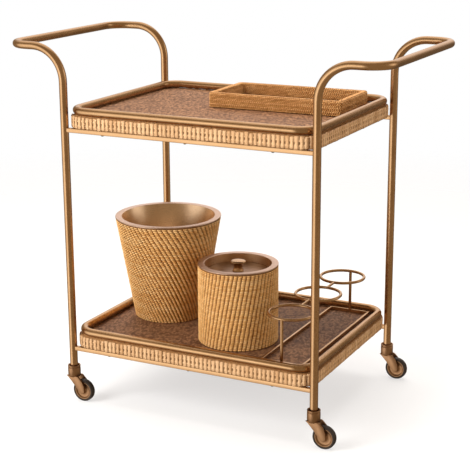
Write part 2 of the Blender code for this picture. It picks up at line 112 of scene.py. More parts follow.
def sweepTube(name, path, radius, sides=24, closed=False):
    # a round bar along a path, carried round its bends without twist
    count = len(path)
    headings = []
    for i in range(count):
        before = path[(i - 1) % count] if closed or i else path[0]
        after = path[(i + 1) % count] if closed or i < count - 1 else path[-1]
        headings.append((after - before).normalized())
    side = headings[0].orthogonal().normalized()
    rows = []
    last = headings[0]
    for point, heading in zip(path, headings):
        side = last.rotation_difference(heading) @ side
        last = heading
        other = heading.cross(side)
        turns = [2.0 * math.pi * (i + 0.5) / sides for i in range(sides)]
        rows.append([point + (side * math.cos(a) + other * math.sin(a)) * radius for a in turns])
    return buildMesh(name, rows, closed)


def turnMesh(name, profile, centre, steps=96, closed=False, axis="z"):
    # profile holds (radius, height) pairs; centre is the point at height 0
    rows = []
    for radius, height in profile:
        row = []
        for i in range(steps):
            a = 2.0 * math.pi * (i + 0.5) / steps
            if axis == "z":
                row.append(centre + spoke(a, radius, height))
            else:
                row.append(centre + Vector((radius * math.sin(a), height, radius * math.cos(a))))
        rows.append(row)
    return buildMesh(name, rows, closed, "round")


def softEdge(profile, size, steps=3):
    # rounds the corners of a (radius, height) outline
    points = [Vector(p) for p in profile]
    result = []
    for i, corner in enumerate(points):
        before = points[i - 1] if i else None
        after = points[i + 1] if i < len(points) - 1 else None
        if before is None or after is None:
            result.append(tuple(corner))
            continue
        toBefore = before - corner
        toAfter = after - corner
        reach = min(size, toBefore.length * 0.45, toAfter.length * 0.45)
        start = corner + toBefore.normalized() * reach
        end = corner + toAfter.normalized() * reach
        for k in range(steps + 1):
            t = k / steps
            result.append(tuple(start * (1 - t) ** 2 + corner * 2 * t * (1 - t) + end * t * t))
    return result


def roundedLoop(halfX, halfY, radius, steps=12, straight=0):
    # a level rounded rectangle, anticlockwise seen from above; straight adds points along its sides
    points = []
    for quarter, (sx, sy) in enumerate(((1, 1), (-1, 1), (-1, -1), (1, -1))):
        middle = Vector((sx * (halfX - radius), sy * (halfY - radius), 0.0))
        for i in range(steps + 1):
            a = (quarter + i / steps) * math.pi / 2.0
            points.append(middle + spoke(a, radius))
    if not straight:
        return points
    result = []
    for i, point in enumerate(points):
        after = points[(i + 1) % len(points)]
        result.append(point)
        if (after - point).length > 0.02:
            result += [point.lerp(after, k / straight) for k in range(1, straight)]
    return result


def circlePath(centre, radius, steps=160):
    return [centre + spoke(2.0 * math.pi * i / steps, radius) for i in range(steps)]


def frameMesh(name, halfX, halfY, radius, profile, place, turn=0.0, steps=12):
    # a section of (inset, height) points carried round a rounded rectangle
    rows = []
    for inset, height in profile:
        loop = roundedLoop(halfX - inset, halfY - inset, max(radius - inset, 0.0008), steps)
        rows.append([place + turned(p, turn) + up * height for p in loop])
    return buildMesh(name, rows, True, "round")


def addObject(name, data):
    piece = bpy.data.objects.new(name, data)
    bpy.context.collection.objects.link(piece)
    return piece


def addPiece(name, mesh, material, body, nodes):
    # a finished piece: its finish, the body it rides on and the nodes it stands for
    piece = addObject(name, mesh)
    if not mesh.materials:
        mesh.materials.append(material)
    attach(piece, body)
    if nodes:
        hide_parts(*nodes)


def setInputs(tree, node, inputs):
    for key, value in inputs.items():
        if isinstance(value, bpy.types.NodeSocket):
            tree.links.new(value, node.inputs[key])
        else:
            node.inputs[key].default_value = value


def addNode(tree, kind, inputs=None, **settings):
    node = tree.nodes.new(kind)
    for key, value in settings.items():
        setattr(node, key, value)
    setInputs(tree, node, inputs or {})
    return node


def calc(tree, operation, *values):
    return addNode(tree, "ShaderNodeMath", dict(enumerate(values)), operation=operation).outputs[0]


def times(tree, first, second):
    return calc(tree, "MULTIPLY", first, second)


def plus(tree, total, *values):
    for value in values:
        total = calc(tree, "ADD", total, value)
    return total


def vectorCalc(tree, operation, first, second=None, scale=None):
    inputs = {0: first}
    if second is not None:
        inputs[1] = second
    if scale is not None:
        inputs["Scale"] = scale
    return addNode(tree, "ShaderNodeVectorMath", inputs, operation=operation).outputs[0]


def splitVector(tree, vector):
    return addNode(tree, "ShaderNodeSeparateXYZ", {0: vector}).outputs


def makeVector(tree, x=0.0, y=0.0, z=0.0):
    return addNode(tree, "ShaderNodeCombineXYZ", {0: x, 1: y, 2: z}).outputs[0]


def newGeometryTree(name, inputs):
    tree = bpy.data.node_groups.new(name, "GeometryNodeTree")
    for label, kind in inputs:
        tree.interface.new_socket(name=label, in_out="INPUT", socket_type="NodeSocket" + kind)
    tree.interface.new_socket(name="Geometry", in_out="OUTPUT", socket_type="NodeSocketGeometry")
    return tree, tree.nodes.new("NodeGroupInput").outputs


def endTree(tree, geometry, material):
    realized = addNode(tree, "GeometryNodeRealizeInstances", {0: geometry}).outputs[0]
    inputs = {"Geometry": realized, "Material": material}
    painted = addNode(tree, "GeometryNodeSetMaterial", inputs).outputs[0]
    out = tree.nodes.new("NodeGroupOutput")
    tree.links.new(painted, out.inputs[0])


def meshFromTree(name, carrier, tree, values):
    # runs a tree on a carrier object, keeps the mesh that it makes, and clears the carrier away
    modifier = carrier.modifiers.new(tree.name, "NODES")
    modifier.node_group = tree
    for item in tree.interface.items_tree:
        if item.in_out == "INPUT" and item.name in values:
            modifier[item.identifier] = values[item.name]
    graph = bpy.context.evaluated_depsgraph_get()
    mesh = bpy.data.meshes.new_from_object(carrier.evaluated_get(graph))
    carrier.modifiers.remove(modifier)
    bpy.data.objects.remove(carrier, do_unlink=True)
    mesh.name = name
    mesh.shade_smooth()
    return mesh


def lineObject(name, points, closed):
    curve = bpy.data.curves.new(name, "CURVE")
    curve.dimensions = "3D"
    spline = curve.splines.new("POLY")
    spline.points.add(len(points) - 1)
    for slotPoint, point in zip(spline.points, points):
        slotPoint.co = (*point, 1.0)
    spline.use_cyclic_u = closed
    return addObject(name, curve)


def newMaterial(name, roughness=0.5, metallic=0.0):
    material = bpy.data.materials.new(name)
    material.use_nodes = True
    shader = material.node_tree.nodes["Principled BSDF"]
    setInputs(material.node_tree, shader, {"Roughness": roughness, "Metallic": metallic})
    return material, material.node_tree, shader


def objectPlace(tree):
    return addNode(tree, "ShaderNodeTexCoord").outputs["Object"]


def noise(tree, vector, scale, detail=3.0, roughness=0.5):
    inputs = {"Vector": vector, "Scale": scale, "Detail": detail, "Roughness": roughness}
    return addNode(tree, "ShaderNodeTexNoise", inputs).outputs["Fac"]


def ramp(tree, factor, stops):
    node = addNode(tree, "ShaderNodeValToRGB", {"Fac": factor})
    elements = node.color_ramp.elements
    while len(elements) < len(stops):
        elements.new(0.5)
    for element, (place, colour) in zip(elements, stops):
        element.position = place
        element.color = (*colour, 1.0)
    return node.outputs["Color"]


def span(tree, value, low, high, newLow=0.0, newHigh=1.0):
    inputs = {"Value": value, "From Min": low, "From Max": high, "To Min": newLow, "To Max": newHigh}
    return addNode(tree, "ShaderNodeMapRange", inputs).outputs["Result"]


def mixColour(tree, factor, first, second):
    # second is a plain colour
    inputs = {0: factor, 6: first, 7: (*second, 1.0)}
    return addNode(tree, "ShaderNodeMix", inputs, data_type="RGBA").outputs[2]


def bump(tree, height, strength, distance):
    inputs = {"Height": height, "Strength": strength, "Distance": distance}
    return addNode(tree, "ShaderNodeBump", inputs).outputs["Normal"]


def brushedBrass(name, light, dark, roughness, streak):
    # lacquered antique brass: brushed along the grain map and toned in soft clouds
    material, tree, shader = newMaterial(name, roughness, 1.0)
    grain = addNode(tree, "ShaderNodeUVMap", uv_map="grain").outputs["UV"]
    lines = noise(tree, vectorCalc(tree, "MULTIPLY", grain, (60.0, 3800.0, 1.0)), 1.0, 4.0, 0.6)
    clouds = noise(tree, objectPlace(tree), 16.0, 3.0, 0.5)
    tone = plus(tree, times(tree, clouds, 0.6), times(tree, lines, 0.4))
    streaks = span(tree, lines, 0.3, 0.7, roughness - streak, roughness + streak)
    setInputs(tree, shader, {
        "Base Color": ramp(tree, tone, [(0.32, dark), (0.64, light)]),
        "Roughness": plus(tree, streaks, span(tree, clouds, 0.3, 0.7, -0.02, 0.02)),
        "Normal": bump(tree, lines, 0.06, 0.00005),
    })
    return material


def caneFinish(name, light, middle, dark, ends, edges):
    # split cane: each strand has its own tone, fibres along it, and painted shade where it dives or meets the
    # next
    material, tree, shader = newMaterial(name, 0.5)
    tone, along, around = (addNode(tree, "ShaderNodeAttribute", attribute_name=label).outputs["Fac"]
                           for label in ("tone", "along", "around"))
    fibreAt = makeVector(tree, times(tree, along, 0.8), times(tree, around, 7.0), times(tree, tone, 90.0))
    fibres = noise(tree, fibreAt, 2.2, 3.0, 0.65)
    patches = noise(tree, objectPlace(tree), 26.0, 3.0, 0.55)
    mixed = plus(tree, times(tree, tone, 0.42), times(tree, fibres, 0.30), times(tree, patches, 0.34))
    colour = ramp(tree, mixed, [(0.26, dark), (0.50, middle), (0.80, light)])
    # painted shade: the colour darkens towards the strand's ends, where it dives under the next, and towards
    # its sides, where it meets its neighbours
    endShade = span(tree, calc(tree, "ABSOLUTE", along), 0.55, 1.0, 0.0, ends)
    edgeShade = span(tree, calc(tree, "ABSOLUTE", around), 0.50, 0.95, 0.0, edges)
    shade = calc(tree, "MAXIMUM", endShade, edgeShade)
    setInputs(tree, shader, {
        "Base Color": mixColour(tree, shade, colour, [c * c * 0.5 for c in dark]),
        "Roughness": span(tree, fibres, 0.3, 0.7, 0.42, 0.62),
        "Normal": bump(tree, fibres, 0.35, 0.0002),
        "Coat Weight": 0.10, "Coat Roughness": 0.35,
    })
    return material


def coreFinish(name, colour):
    # the cane behind the floats, coloured dark as painted shade in the gaps
    material, tree, shader = newMaterial(name, 0.75)
    grain = noise(tree, objectPlace(tree), 240.0, 3.0, 0.6)
    shades = ramp(tree, grain, [(0.3, [c * 0.6 for c in colour]), (0.7, [c * 1.3 for c in colour])])
    setInputs(tree, shader, {"Base Color": shades, "Normal": bump(tree, grain, 0.4, 0.0004)})
    return material


def matFinish(name, pitch, light, dark, turn=0.0, centre=(0.0, 0.0, 0.0)):
    # ribbed paper-cord weave: slim raised stitches, set like bricks, between hollows darkened with painted
    # shade
    material, tree, shader = newMaterial(name, 0.62)
    place = objectPlace(tree)
    inputs = {"Vector": place, "Location": centre, "Rotation": (0.0, 0.0, turn)}
    mapping = addNode(tree, "ShaderNodeMapping", inputs, vector_type="TEXTURE")
    x, y, _ = splitVector(tree, vectorCalc(tree, "DIVIDE", mapping.outputs[0], (*pitch, 1.0)))
    columnAt = calc(tree, "FLOOR", x)
    y = plus(tree, y, times(tree, columnAt, 0.5))
    rowAt = calc(tree, "FLOOR", y)
    archX, archY = (calc(tree, "SINE", times(tree, calc(tree, "FRACT", part), math.pi)) for part in (x, y))
    stitch = times(tree, calc(tree, "POWER", archX, 0.7), calc(tree, "POWER", archY, 0.8))
    cell = addNode(tree, "ShaderNodeTexWhiteNoise", {0: makeVector(tree, columnAt, rowAt)}).outputs["Value"]
    fine = noise(tree, place, 900.0, 2.0, 0.6)
    clouds = noise(tree, place, 14.0, 3.0, 0.5)
    tone = plus(tree, times(tree, cell, 0.80), times(tree, fine, 0.20), times(tree, clouds, 0.2))
    colour = ramp(tree, tone, [(0.20, dark), (1.00, light)])
    speckle = span(tree, noise(tree, place, 330.0, 2.0, 0.7), 0.38, 0.62, 0.0, 0.42)
    colour = mixColour(tree, speckle, colour, [c * 0.55 for c in dark])
    # painted shade: the hollows between the stitches are mixed towards a deep brown
    hollowShade = span(tree, stitch, 0.15, 0.75, 0.90, 0.0)
    setInputs(tree, shader, {
        "Base Color": mixColour(tree, hollowShade, colour, [c * 0.35 for c in dark]),
        "Roughness": span(tree, fine, 0.3, 0.7, 0.5, 0.72),
        "Normal": bump(tree, plus(tree, stitch, times(tree, fine, 0.15)), 0.6, 0.0005),
    })
    return material


def plainFinish(name, colour, roughness, metallic):
    # cast or moulded surface: slight mottling and a fine skin
    material, tree, shader = newMaterial(name, roughness, metallic)
    place = objectPlace(tree)
    skin = noise(tree, place, 700.0, 3.0, 0.6)
    clouds = noise(tree, place, 60.0, 3.0, 0.5)
    shades = [(0.3, [c * 0.7 for c in colour]), (0.7, [c * 1.35 for c in colour])]
    setInputs(tree, shader, {
        "Base Color": ramp(tree, clouds, shades),
        "Roughness": span(tree, skin, 0.3, 0.7, roughness - 0.06, roughness + 0.08),
        "Normal": bump(tree, skin, 0.15, 0.0001),
    })
    return material


tones = {
    "brass": [(0.62, 0.395, 0.215), (0.50, 0.305, 0.155)],
    "cast": [(0.46, 0.275, 0.155), (0.35, 0.20, 0.105)],
    # liner and rim are lighter than the frame brass: painted light inside the deep liner, and on the rim
    # painted reflection of the bright room its flat top mirrors
    "liner": [(0.92, 0.69, 0.48), (0.80, 0.57, 0.37)],
    "rim": [(0.78, 0.58, 0.47), (0.66, 0.47, 0.36)],
    "lid": [(0.40, 0.25, 0.16), (0.28, 0.16, 0.095)],
    "cane": [(1.0, 0.68, 0.32), (0.90, 0.52, 0.19), (0.66, 0.31, 0.08)],
    "straw": [(0.90, 0.62, 0.36), (0.80, 0.50, 0.265), (0.58, 0.32, 0.14)],
    "tray": [(0.92, 0.53, 0.225), (0.68, 0.335, 0.11), (0.34, 0.13, 0.03)],
    "mat": [(0.66, 0.340, 0.172), (0.14, 0.058, 0.026)],
    # the core colours are painted shade, showing in the gaps between floats and wraps
    "strawShadeCore": (0.42, 0.215, 0.085), "caneShadeCore": (0.24, 0.10, 0.03),
}
brass = brushedBrass("antiqueBrass", *tones["brass"], 0.27, 0.04)
castBrass = brushedBrass("castBrass", *tones["cast"], 0.42, 0.03)
linerBrass = brushedBrass("linerBrass", *tones["liner"], 0.30, 0.05)
rimBrass = brushedBrass("rimBrass", *tones["rim"], 0.42, 0.04)
lidBrass = brushedBrass("lidBrass", *tones["lid"], 0.40, 0.05)
cane = caneFinish("goldenCane", *tones["cane"], 0.70, 0.38)
straw = caneFinish("strawCane", *tones["straw"], 0.30, 0.45)
trayCane = caneFinish("trayCane", *tones["tray"], 0.75, 0.5)
caneShadeCore = coreFinish("caneShadeCore", tones["caneShadeCore"])
strawShadeCore = coreFinish("strawShadeCore", tones["strawShadeCore"])
matPitch = {"shelf": (0.0046, 0.0060), "tray": (0.0026, 0.0070)}
shelfMat = matFinish("shelfMat", matPitch["shelf"], *tones["mat"])
steel = plainFinish("darkSteel", (0.09, 0.07, 0.055), 0.4, 1.0)
rubber = plainFinish("tyreRubber", (0.028, 0.02, 0.016), 0.55, 0.0)
print("finishes ready")


tubeSizes = {"armBend": 0.078, "gripBend": 0.050, "bendSteps": 14, "sides": 28}


def arcPoints(middle, fromArm, toArm, steps):
    turns = [i / steps * math.pi / 2.0 for i in range(steps + 1)]
    return [middle + fromArm * math.cos(a) + toArm * math.sin(a) for a in turns]


def makeHandle(side):
    # up the front post, out along the arm, across the grip and down the back post
    low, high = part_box("handle_tube_" + side)
    sign = 1.0 if side == "right" else -1.0
    radius = postRadius
    x, y = Vector((sign, 0.0, 0.0)), Vector((0.0, 1.0, 0.0))
    postY = high.y - radius
    gripZ = high.z - radius
    gripX = (high.x if sign > 0 else -low.x) - radius
    arm, grip = tubeSizes["armBend"], tubeSizes["gripBend"]
    steps = tubeSizes["bendSteps"]
    armMiddle = x * (postX + arm) + up * (gripZ - arm)
    gripMiddle = x * (gripX - grip) + up * gripZ
    path = [x * postX - y * postY + up * low.z]
    path += arcPoints(armMiddle - y * postY, x * -arm, up * arm, steps)
    path += arcPoints(gripMiddle - y * (postY - grip), y * -grip, x * grip, steps)
    path += arcPoints(gripMiddle + y * (postY - grip), x * grip, y * grip, steps)
    path += arcPoints(armMiddle + y * postY, up * arm, x * -arm, steps)
    path.append(x * postX + y * postY + up * low.z)
    mesh = sweepTube("handle", path, radius, tubeSizes["sides"])
    addPiece("handleTube." + side, mesh, brass, "cart", ["handle_tube_" + side])


ringLow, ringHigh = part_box("guard_ring_upper")
postRadius = round((ringHigh.z - ringLow.z) / 2.0, 4)      # the guard rings are bent from the same tube
postX = footOf("caster_stem_front_right").x
for side in ("left", "right"):
    makeHandle(side)
print("handles ready")


shelfSizes = {"guardBend": 0.042, "apronBend": 0.047, "railEdge": 0.0011, "railSet": 0.004,
              "apronCore": 0.0020, "apronSkin": 0.0014, "apronWall": 0.0118, "apronLedge": 0.0125,
              "apronFoot": 0.022, "matRelief": 0.0010, "matBend": 0.0345, "matBoard": 0.011}


def makeGuardRing(level):
    low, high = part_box("guard_ring_" + level)
    middle = up * ((low.z + high.z) / 2.0)
    loop = roundedLoop(high.x - postRadius, high.y - postRadius, shelfSizes["guardBend"], 14)
    mesh = sweepTube("guardRing", [p + middle for p in loop], postRadius, tubeSizes["sides"], True)
    addPiece("guardRing." + level, mesh, brass, "cart", ["guard_ring_" + level])


def makeRail(level, side):
    # a square bar with softened edges, let into the posts at both ends
    name = f"rail_{level}_{side}"
    low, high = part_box(name)
    edge = shelfSizes["railEdge"]
    halfY, halfZ = (high.y - low.y) / 2.0, (high.z - low.z) / 2.0
    middle = Vector((0.0, (low.y + high.y) / 2.0, (low.z + high.z) / 2.0))
    section = roundedLoop(halfY, halfZ, edge, 3)
    rows = []
    reach = postX - shelfSizes["railSet"]
    for x in (-reach, reach):
        rows.append([middle + Vector((x, p.x, p.y)) for p in section])
    addPiece(f"rail.{level}.{side}", buildMesh("rail", rows), brass, "cart", [name])


def makeScrews():
    # pan heads under the rails, one tree for all twelve
    names = [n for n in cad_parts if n.startswith("rail_screw_")]
    inputs = [("Heads", "Geometry"), ("Screw", "Object"), ("Material", "Material")]
    tree, given = newGeometryTree("railScrews", inputs)
    points = addNode(tree, "GeometryNodeMeshToPoints", {"Mesh": given["Heads"]}).outputs[0]
    shape = addNode(tree, "GeometryNodeObjectInfo", {"Object": given["Screw"]}).outputs["Geometry"]
    placed = addNode(tree, "GeometryNodeInstanceOnPoints", {"Points": points, "Instance": shape}).outputs[0]
    endTree(tree, placed, given["Material"])
    low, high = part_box(names[0])
    radius, height = (high.x - low.x) / 2.0, high.z - low.z
    profile = [(0.0006, 0.0009), (0.0011, 0.0001), (0.0018, 0.00005), (radius * 0.75, 0.0003),
               (radius * 0.96, 0.0010), (radius, 0.0019), (0.0018, 0.0020), (0.0018, height)]
    screw = addObject("screwShape", turnMesh("screwShape", profile, Vector(), 20))
    spots = bpy.data.meshes.new("heads")
    spots.from_pydata([footOf(name) for name in names], [], [])
    values = {"Screw": screw, "Material": steel}
    mesh = meshFromTree("railScrews", addObject("heads", spots), tree, values)
    bpy.data.objects.remove(screw, do_unlink=True)
    addPiece("railScrews", mesh, steel, "cart", names)


def makeStrandShape(name, stations, upright=False):
    # one strand, 1 x 1 x 1, bulging out towards -Y; stations hold (along, out, thickness, breadth)
    sides = 5
    points, faces, along, around = [], [], [], []
    for t, out, thick, broad in stations:
        for i in range(sides):
            a = 2.0 * math.pi * i / sides
            across, forward = broad * math.sin(a), -(out + thick * math.cos(a))
            points.append((across, forward, t * 0.5) if upright else (t * 0.5, forward, across))
            along.append(t)
            around.append(math.sin(a) if math.cos(a) > -0.1 else math.copysign(1.0, math.sin(a)))
    for row in range(len(stations) - 1):
        for i in range(sides):
            j = (i + 1) % sides
            faces.append((row * sides + i, row * sides + j, (row + 1) * sides + j, (row + 1) * sides + i))
    faces.append(tuple(range(sides)))
    faces.append(tuple(range((len(stations) - 1) * sides, len(stations) * sides)))
    mesh = bpy.data.meshes.new(name)
    mesh.from_pydata(points, [], faces)
    bm = bmesh.new()
    bm.from_mesh(mesh)
    bmesh.ops.recalc_face_normals(bm, faces=bm.faces)
    bm.to_mesh(mesh)
    bm.free()
    for label, values in (("along", along), ("around", around)):
        attribute = mesh.attributes.new(label, "FLOAT", "POINT")
        attribute.data.foreach_set("value", values)
    mesh.shade_smooth()
    return addObject(name, mesh)


def wovenWallTree():
    # rows of floats: each row follows the path, and the section says how far out and up the rows lie
    inputs = [("Path", "Geometry"), ("Section", "Object"), ("Float", "Object"), ("Material", "Material"),
              ("Floats", "Int"), ("Rows", "Int"), ("Row shift", "Float"), ("Row wander", "Float"),
              ("Overlap", "Float"), ("Depth", "Float"), ("Seed", "Int")]
    tree, given = newGeometryTree("wovenWall", inputs)
    index = addNode(tree, "GeometryNodeInputIndex").outputs[0]
    row = calc(tree, "FLOOR", calc(tree, "DIVIDE", plus(tree, index, 0.5), given["Floats"]))
    column = calc(tree, "SUBTRACT", index, times(tree, row, given["Floats"]))

    def randomAt(identity, low, high, seedStep):
        inputs = {2: low, 3: high, "ID": identity, "Seed": plus(tree, given["Seed"], seedStep)}
        return addNode(tree, "FunctionNodeRandomValue", inputs, data_type="FLOAT").outputs[1]

    def along(curves, factor):
        inputs = {"Curves": curves, "Factor": factor}
        return addNode(tree, "GeometryNodeSampleCurve", inputs, mode="FACTOR").outputs

    wander = times(tree, randomAt(row, -1.0, 1.0, 1), given["Row wander"])
    slip = times(tree, randomAt(index, -1.0, 1.0, 2), 0.05)
    shifted = plus(tree, column, times(tree, row, given["Row shift"]))
    shifted = plus(tree, shifted, plus(tree, wander, slip))
    onPath = calc(tree, "FRACT", calc(tree, "DIVIDE", shifted, given["Floats"]))
    onSection = calc(tree, "DIVIDE", plus(tree, row, 0.5), given["Rows"])
    sectionCurve = addNode(tree, "GeometryNodeObjectInfo", {"Object": given["Section"]}).outputs["Geometry"]
    path, section = along(given["Path"], onPath), along(sectionCurve, onSection)
    heading = path["Tangent"]
    outward = vectorCalc(tree, "CROSS_PRODUCT", heading, (0.0, 0.0, 1.0))
    out, _, height = splitVector(tree, section["Position"])
    leanOut, _, leanUp = splitVector(tree, section["Tangent"])
    lean = vectorCalc(tree, "SCALE", outward, scale=leanOut)
    climb = vectorCalc(tree, "ADD", lean, makeVector(tree, z=leanUp))
    place = vectorCalc(tree, "ADD", path["Position"], vectorCalc(tree, "SCALE", outward, scale=out))
    place = vectorCalc(tree, "ADD", place, makeVector(tree, z=height))
    turn = addNode(tree, "FunctionNodeAxesToRotation", {"Primary Axis": heading, "Secondary Axis": climb},
                   primary_axis="X", secondary_axis="Z").outputs[0]
    pathLength = addNode(tree, "GeometryNodeCurveLength", {0: given["Path"]}).outputs[0]
    sectionLength = addNode(tree, "GeometryNodeCurveLength", {0: sectionCurve}).outputs[0]
    girth = plus(tree, pathLength, times(tree, out, 2.0 * math.pi))
    length = times(tree, calc(tree, "DIVIDE", girth, given["Floats"]), given["Overlap"])
    length = times(tree, length, randomAt(index, 0.95, 1.06, 3))
    rowHeight = calc(tree, "DIVIDE", sectionLength, given["Rows"])
    tall = times(tree, rowHeight, randomAt(index, 0.90, 1.04, 4))
    deep = times(tree, given["Depth"], randomAt(index, 0.85, 1.1, 5))
    total = times(tree, given["Floats"], given["Rows"])
    points = addNode(tree, "GeometryNodePoints", {"Count": total, "Position": place}).outputs[0]
    shape = addNode(tree, "GeometryNodeObjectInfo", {"Object": given["Float"]}).outputs["Geometry"]
    placed = addNode(tree, "GeometryNodeInstanceOnPoints", {
        "Points": points, "Instance": shape, "Rotation": turn, "Scale": makeVector(tree, length, deep, tall),
    }).outputs[0]
    tone = plus(tree, randomAt(row, 0.0, 0.5, 6), randomAt(index, 0.0, 0.5, 7))
    stored = {"Geometry": placed, "Name": "tone", "Value": tone}
    toned = addNode(tree, "GeometryNodeStoreNamedAttribute", stored, data_type="FLOAT", domain="INSTANCE")
    endTree(tree, toned.outputs[0], given["Material"])
    return tree


def weaveWall(name, path, section, values, material, body, shape):
    carrier = lineObject("path", path, True)
    sectionLine = lineObject("section", section, False)
    given = {"Section": sectionLine, "Float": shape, "Material": material, **values}
    mesh = meshFromTree(name, carrier, wovenWall, given)
    bpy.data.objects.remove(sectionLine, do_unlink=True)
    addPiece(name, mesh, material, body, [])
    print(name, len(mesh.polygons), "faces")


caneFloat = makeStrandShape("caneFloat", [
    (-1.0, -0.75, 0.30, 0.36), (-0.60, 0.18, 0.38, 0.50), (0.0, 0.58, 0.42, 0.54),
    (0.60, 0.18, 0.38, 0.50), (1.0, -0.75, 0.30, 0.36),
])
caneWrap = makeStrandShape("caneWrap", [
    (-1.0, -0.30, 0.40, 0.54), (-0.88, 0.30, 0.55, 0.60), (-0.42, 0.42, 0.58, 0.58),
    (-0.08, 0.42, 0.58, 0.42), (0.28, 0.42, 0.58, 0.44), (0.60, 0.42, 0.58, 0.58),
    (0.88, 0.30, 0.55, 0.60), (1.0, -0.30, 0.40, 0.54),
], True)
wovenWall = wovenWallTree()
apronWeave = {"Floats": 201, "Rows": 5, "Row shift": 0.5, "Row wander": 0.10, "Overlap": 0.96,
              "Depth": 0.0020, "Seed": 4}
apronWraps = {"Floats": 201, "Rows": 1, "Row shift": 0.0, "Row wander": 0.0, "Overlap": 1.06,
              "Depth": 0.0013, "Seed": 9}


def makeApron(level):
    # a band of cane: horizontal floats behind, and upright wraps that fold over its top edge
    low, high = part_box("apron_" + level)
    base = up * low.z
    tall = high.z - low.z
    radius = shelfSizes["apronBend"]
    back, skin = shelfSizes["apronCore"], shelfSizes["apronSkin"]
    wall, foot, ledge = shelfSizes["apronWall"], shelfSizes["apronFoot"], tall - shelfSizes["apronLedge"]
    core = [(back, 0.0), (back, tall - 0.003), (back + 0.002, tall - 0.0012), (0.0092, tall - 0.0012),
            (0.0100, tall), (wall, tall), (wall, ledge), (foot, ledge), (foot, 0.0)]
    mesh = frameMesh("apronCore", high.x, high.y, radius, core, base)
    # the core's dark colour is painted shade behind the wraps
    addPiece("apronCore." + level, mesh, strawShadeCore, "cart", ["apron_" + level])
    for name, inset, heights, values, shape in (
        ("apronWeave.", back, (0.001, tall * 0.5, tall - 0.003), apronWeave, caneFloat),
        ("apronWraps.", skin, (0.0002, tall - 0.0008), apronWraps, caneWrap),
    ):
        path = [p + base for p in roundedLoop(high.x - inset, high.y - inset, radius - inset, 12, 24)]
        section = [(0.0, 0.0, height) for height in heights]
        weaveWall(name + level, path, section, values, straw, "cart", shape)


def matTree():
    # a fine grid raised in little squares, with what lies outside the rounded outline cut away
    inputs = [("Start", "Geometry"), ("Half X", "Float"), ("Half Y", "Float"), ("Corner", "Float"),
              ("Pitch X", "Float"), ("Pitch Y", "Float"), ("Relief", "Float"), ("Material", "Material")]
    tree, given = newGeometryTree("wovenMat", inputs)
    sizes = {}
    for axis, step in (("X", given["Pitch X"]), ("Y", calc(tree, "DIVIDE", given["Pitch Y"], 4.0))):
        count = times(tree, calc(tree, "CEIL", calc(tree, "DIVIDE", given["Half " + axis], step)), 2.0)
        sizes["Size " + axis] = times(tree, count, step)
        sizes["Vertices " + axis] = plus(tree, count, 1.0)
    grid = addNode(tree, "GeometryNodeMeshGrid", sizes).outputs[0]
    x, y, _ = splitVector(tree, addNode(tree, "GeometryNodeInputPosition").outputs[0])
    wave = calc(tree, "SINE", times(tree, calc(tree, "DIVIDE", y, given["Pitch Y"]), 2.0 * math.pi))
    side = calc(tree, "COSINE", times(tree, calc(tree, "DIVIDE", x, given["Pitch X"]), math.pi))
    lift = times(tree, times(tree, plus(tree, times(tree, wave, side), 1.0), 0.5), given["Relief"])
    offset = makeVector(tree, z=lift)
    raised = addNode(tree, "GeometryNodeSetPosition", {"Geometry": grid, "Offset": offset}).outputs[0]
    past = []
    for value, axis in ((x, "X"), (y, "Y")):
        straight = calc(tree, "SUBTRACT", given["Half " + axis], given["Corner"])
        over = calc(tree, "MAXIMUM", calc(tree, "SUBTRACT", calc(tree, "ABSOLUTE", value), straight), 0.0)
        past.append(calc(tree, "POWER", over, 2.0))
    away = calc(tree, "SQRT", plus(tree, *past))
    doomed = {"Geometry": raised, "Selection": calc(tree, "GREATER_THAN", away, given["Corner"])}
    kept = addNode(tree, "GeometryNodeDeleteGeometry", doomed, domain="POINT").outputs[0]
    endTree(tree, kept, given["Material"])
    return tree


wovenMat = matTree()


def makeMat(name, node, halfX, halfY, corner, pitch, relief, material, body, thickness, turn=0.0, top=0.0):
    # the woven field, closed below by a board of its own
    low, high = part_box(node)
    middle = (low + high) / 2.0
    start = addObject("start", bpy.data.meshes.new("start"))
    mesh = meshFromTree(name, start, wovenMat, {
        "Half X": halfX, "Half Y": halfY, "Corner": corner, "Pitch X": pitch[0], "Pitch Y": pitch[1],
        "Relief": relief, "Material": material,
    })
    bm = bmesh.new()
    bm.from_mesh(mesh)
    rim = [e for e in bm.edges if e.is_boundary]
    lowered = bmesh.ops.extrude_edge_only(bm, edges=rim)["geom"]
    foot = [v for v in lowered if isinstance(v, bmesh.types.BMVert)]
    for vert in foot:
        vert.co.z = -thickness
    bmesh.ops.holes_fill(bm, edges=[e for e in bm.edges if e.is_boundary], sides=0)
    bmesh.ops.recalc_face_normals(bm, faces=bm.faces)
    for vert in bm.verts:
        vert.co = turned(vert.co, turn) + Vector((middle.x, middle.y, high.z + top))
    bm.to_mesh(mesh)
    bm.free()
    mesh.shade_smooth()
    mesh.set_sharp_from_angle(angle=math.radians(75.0))
    addPiece(name, mesh, material, body, [node])
    print(name, len(mesh.polygons), "faces")


for level in ("upper", "lower"):
    makeGuardRing(level)
    makeApron(level)
    panel = "shelf_panel_" + level
    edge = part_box(panel)[1]
    relief = shelfSizes["matRelief"]
    makeMat("shelfMat." + level, panel, edge.x, edge.y, shelfSizes["matBend"], matPitch["shelf"], relief,
            shelfMat, "cart", shelfSizes["matBoard"], top=-relief)
    for side in ("front", "back"):
        makeRail(level, side)
makeScrews()
print("shelves ready")


casterSizes = {"armOutline": [(-0.0145, 0.0620), (-0.0105, 0.0590), (0.0020, 0.0455)],
               "armFront": [(0.0325, 0.0385), (0.0265, 0.0510), (0.0170, 0.0605), (0.0140, 0.0620)],
               "armEnd": 0.0072, "armEdge": 0.0007, "halfWidth": 0.0124, "slotHalf": 0.0082}


